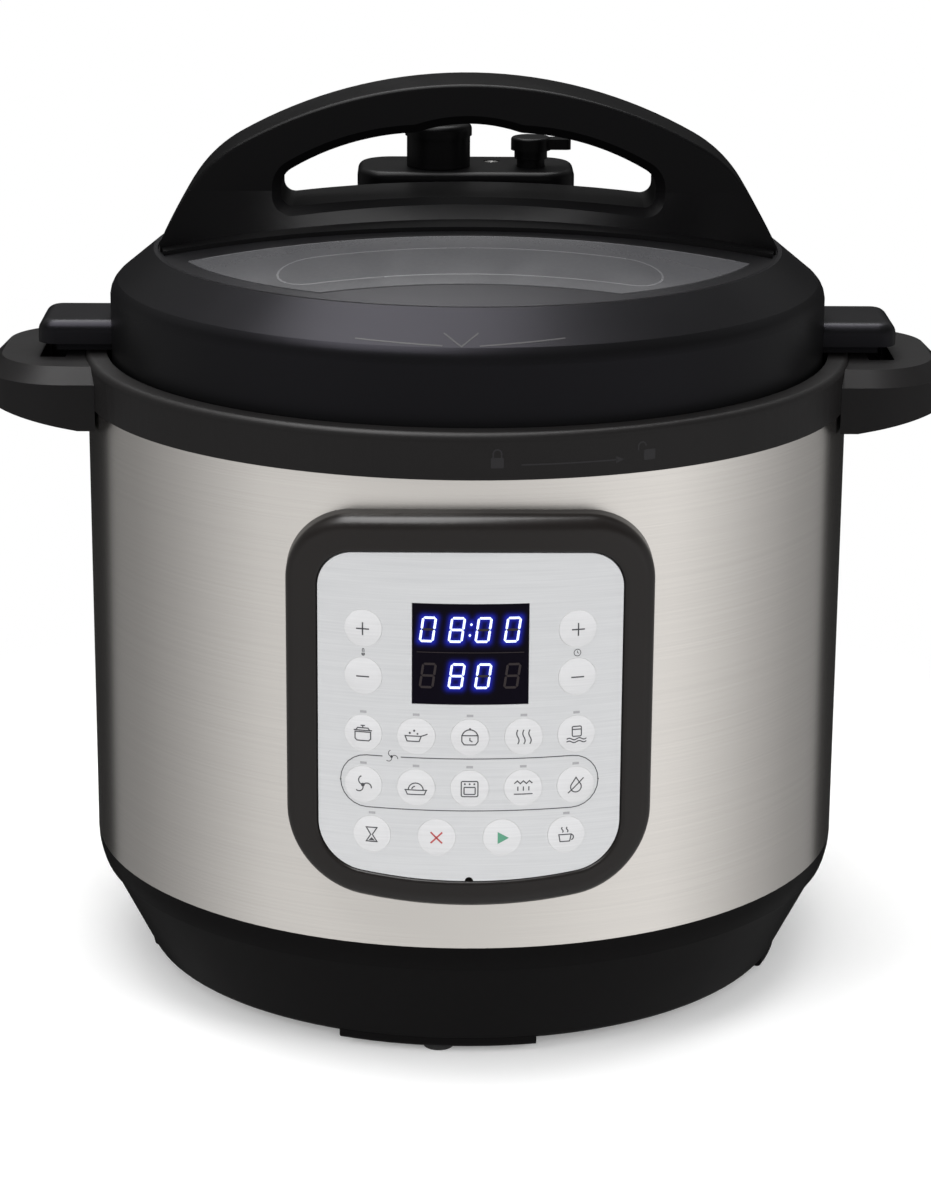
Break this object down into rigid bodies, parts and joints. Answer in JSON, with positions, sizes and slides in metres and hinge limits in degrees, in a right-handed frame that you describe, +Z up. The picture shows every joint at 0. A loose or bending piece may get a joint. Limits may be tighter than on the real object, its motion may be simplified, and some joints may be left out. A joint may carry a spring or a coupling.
{
  "type": "electric pressure cooker",
  "caption": "Electric pressure cooker: brushed steel housing on a dark base, lid with arched handle and steam valve, side handles, curved key panel with display.",
  "frame": {"origin": "on the floor under the middle of the object, on the housing's upright axis", "axes": "+Z up, the control panel faces -Y, the side handles lie along X"},
  "size_m": [0.375, 0.3204, 0.3516],
  "materials": {
    "black_moulding": "fine satin moulding",
    "lid_plastic": "satin moulding",
    "black_gloss": "polished moulding",
    "foot_rubber": "moulded rubber",
    "brushed_steel": "fine brushed lines round the housing",
    "pot_steel": "satin steel",
    "zinc_steel": "zinc plated",
    "cast_heater": "cast and turned",
    "circuit_board": "solder mask",
    "dark_module": "moulded",
    "pin_brass": "plated blades",
    "silver_panel": "silver printed film",
    "silver_key": "silver printed film",
    "display_glass": "dark display lens",
    "silicone": "translucent silicone",
    "cup_plastic": "clear grey cup"
  },
  "bodies": {
    "cooker_base": {"base_shell": "black_moulding", "base_feet": "foot_rubber", "base_screws": "zinc_steel", "housing_skin": "brushed_steel", "upper_ring": "black_moulding", "left_handle": "black_moulding", "right_handle": "black_moulding", "outer_pot": "pot_steel", "inner_pot": "pot_steel", "heating_plate": "cast_heater", "heat_shield": "zinc_steel", "power_board": "circuit_board", "power_inlet": "black_moulding", "inlet_pins": "pin_brass", "cup_bracket": "black_moulding", "panel_bezel": "black_gloss", "faceplate": "silver_panel", "display_window": "display_glass", "display_module": "dark_module", "switch_sheet": "circuit_board", "snap_domes": "pot_steel", "pressure_switch": "dark_module", "thermal_fuse": "zinc_steel"},
    "lid_seal": {"sealing_ring": "silicone", "ring_rack": "pot_steel"},
    "lid": {"lid_cover": "lid_plastic", "lid_panel": "black_gloss", "handle_base": "lid_plastic", "handle_grip": "lid_plastic", "lid_liner": "pot_steel", "lid_nut": "zinc_steel", "steam_platform": "lid_plastic", "exhaust_pipe": "pot_steel", "anti_block_shield": "pot_steel"},
    "float_pin": {"float_valve": "pot_steel", "float_cap": "silicone"},
    "release_button": {"release_stem": "lid_plastic"},
    "release_lever": {"release_cap": "lid_plastic"},
    "steam_valve": {"steam_release_valve": "lid_plastic"},
    "cup": {"condensation_cup": "cup_plastic"},
    "sensor": {"sensor_cap": "cast_heater"},
    "temp_up_button": {"temp_up_key": "silver_key"},
    "time_up_button": {"time_up_key": "silver_key"},
    "temp_down_button": {"temp_down_key": "silver_key"},
    "time_down_button": {"time_down_key": "silver_key"},
    "pressure_cook_button": {"pressure_cook_key": "silver_key"},
    "saute_button": {"saute_key": "silver_key"},
    "slow_cook_button": {"slow_cook_key": "silver_key"},
    "steam_button": {"steam_key": "silver_key"},
    "sous_vide_button": {"sous_vide_key": "silver_key"},
    "air_fry_button": {"air_fry_key": "silver_key"},
    "roast_button": {"roast_key": "silver_key"},
    "bake_button": {"bake_key": "silver_key"},
    "broil_button": {"broil_key": "silver_key"},
    "dehydrate_button": {"dehydrate_key": "silver_key"},
    "delay_start_button": {"delay_start_key": "silver_key"},
    "cancel_button": {"cancel_key": "silver_key"},
    "start_button": {"start_key": "silver_key"},
    "keep_warm_button": {"keep_warm_key": "silver_key"}
  },
  "joints": [
    {"name": "lid_lift", "type": "slide", "parent": "cooker_base", "child": "lid_seal", "axis": [0, 0, 1], "range_m": [0, 0.18]},
    {"name": "lid_turn", "type": "hinge", "parent": "lid_seal", "child": "lid", "pos_m": [0, 0, 0.23], "axis": [0, 0, 1], "range_deg": [0, 30]},
    {"name": "float_rise", "type": "slide", "parent": "lid", "child": "float_pin", "axis": [0, 0, 1], "range_m": [0, 0.0045]},
    {"name": "release_press", "type": "slide", "parent": "lid", "child": "release_button", "axis": [0, 0, -1], "range_m": [0, 0.0028], "stiffness_N_per_m": 400, "springref_m": -0.004},
    {"name": "release_turn", "type": "hinge", "parent": "release_button", "child": "release_lever", "pos_m": [0.0256, 0.048, 0.313], "axis": [0, 0, 1], "range_deg": [0, 35]},
    {"name": "valve_lift", "type": "slide", "parent": "lid", "child": "steam_valve", "axis": [0, 0, 1], "range_m": [0, 0.0018]},
    {"name": "cup_pull", "type": "slide", "parent": "cooker_base", "child": "cup", "axis": [0, 1, 0], "range_m": [0, 0.04]},
    {"name": "sensor_press", "type": "slide", "parent": "cooker_base", "child": "sensor", "axis": [0, 0, -1], "range_m": [0, 0.0015], "stiffness_N_per_m": 300, "springref_m": -0.005},
    {"name": "temp_up_press", "type": "slide", "parent": "cooker_base", "child": "temp_up_button", "axis": [0.2402, 0.9707, 0], "range_m": [0, 0.0004], "stiffness_N_per_m": 500, "springref_m": -0.001},
    {"name": "time_up_press", "type": "slide", "parent": "cooker_base", "child": "time_up_button", "axis": [-0.2402, 0.9707, 0], "range_m": [0, 0.0004], "stiffness_N_per_m": 500, "springref_m": -0.001},
    {"name": "temp_down_press", "type": "slide", "parent": "cooker_base", "child": "temp_down_button", "axis": [0.2402, 0.9707, 0], "range_m": [0, 0.0004], "stiffness_N_per_m": 500, "springref_m": -0.001},
    {"name": "time_down_press", "type": "slide", "parent": "cooker_base", "child": "time_down_button", "axis": [-0.2402, 0.9707, 0], "range_m": [0, 0.0004], "stiffness_N_per_m": 500, "springref_m": -0.001},
    {"name": "pressure_cook_press", "type": "slide", "parent": "cooker_base", "child": "pressure_cook_button", "axis": [0.2402, 0.9707, 0], "range_m": [0, 0.0004], "stiffness_N_per_m": 500, "springref_m": -0.001},
    {"name": "saute_press", "type": "slide", "parent": "cooker_base", "child": "saute_button", "axis": [0.121, 0.9927, 0], "range_m": [0, 0.0004], "stiffness_N_per_m": 500, "springref_m": -0.001},
    {"name": "slow_cook_press", "type": "slide", "parent": "cooker_base", "child": "slow_cook_button", "axis": [0, 1, 0], "range_m": [0, 0.0004], "stiffness_N_per_m": 500, "springref_m": -0.001},
    {"name": "steam_press", "type": "slide", "parent": "cooker_base", "child": "steam_button", "axis": [-0.121, 0.9927, 0], "range_m": [0, 0.0004], "stiffness_N_per_m": 500, "springref_m": -0.001},
    {"name": "sous_vide_press", "type": "slide", "parent": "cooker_base", "child": "sous_vide_button", "axis": [-0.2402, 0.9707, 0], "range_m": [0, 0.0004], "stiffness_N_per_m": 500, "springref_m": -0.001},
    {"name": "air_fry_press", "type": "slide", "parent": "cooker_base", "child": "air_fry_button", "axis": [0.2402, 0.9707, 0], "range_m": [0, 0.0004], "stiffness_N_per_m": 500, "springref_m": -0.001},
    {"name": "roast_press", "type": "slide", "parent": "cooker_base", "child": "roast_button", "axis": [0.121, 0.9927, 0], "range_m": [0, 0.0004], "stiffness_N_per_m": 500, "springref_m": -0.001},
    {"name": "bake_press", "type": "slide", "parent": "cooker_base", "child": "bake_button", "axis": [0, 1, 0], "range_m": [0, 0.0004], "stiffness_N_per_m": 500, "springref_m": -0.001},
    {"name": "broil_press", "type": "slide", "parent": "cooker_base", "child": "broil_button", "axis": [-0.121, 0.9927, 0], "range_m": [0, 0.0004], "stiffness_N_per_m": 500, "springref_m": -0.001},
    {"name": "dehydrate_press", "type": "slide", "parent": "cooker_base", "child": "dehydrate_button", "axis": [-0.2402, 0.9707, 0], "range_m": [0, 0.0004], "stiffness_N_per_m": 500, "springref_m": -0.001},
    {"name": "delay_start_press", "type": "slide", "parent": "cooker_base", "child": "delay_start_button", "axis": [0.2207, 0.9753, 0], "range_m": [0, 0.0004], "stiffness_N_per_m": 500, "springref_m": -0.001},
    {"name": "cancel_press", "type": "slide", "parent": "cooker_base", "child": "cancel_button", "axis": [0.0741, 0.9973, 0], "range_m": [0, 0.0004], "stiffness_N_per_m": 500, "springref_m": -0.001},
    {"name": "start_press", "type": "slide", "parent": "cooker_base", "child": "start_button", "axis": [-0.0741, 0.9973, 0], "range_m": [0, 0.0004], "stiffness_N_per_m": 500, "springref_m": -0.001},
    {"name": "keep_warm_press", "type": "slide", "parent": "cooker_base", "child": "keep_warm_button", "axis": [-0.2207, 0.9753, 0], "range_m": [0, 0.0004], "stiffness_N_per_m": 500, "springref_m": -0.001}
  ],
  "couplings": [
    {"joint": "valve_lift", "follows": "release_press", "ratio": 0.6}
  ]
}
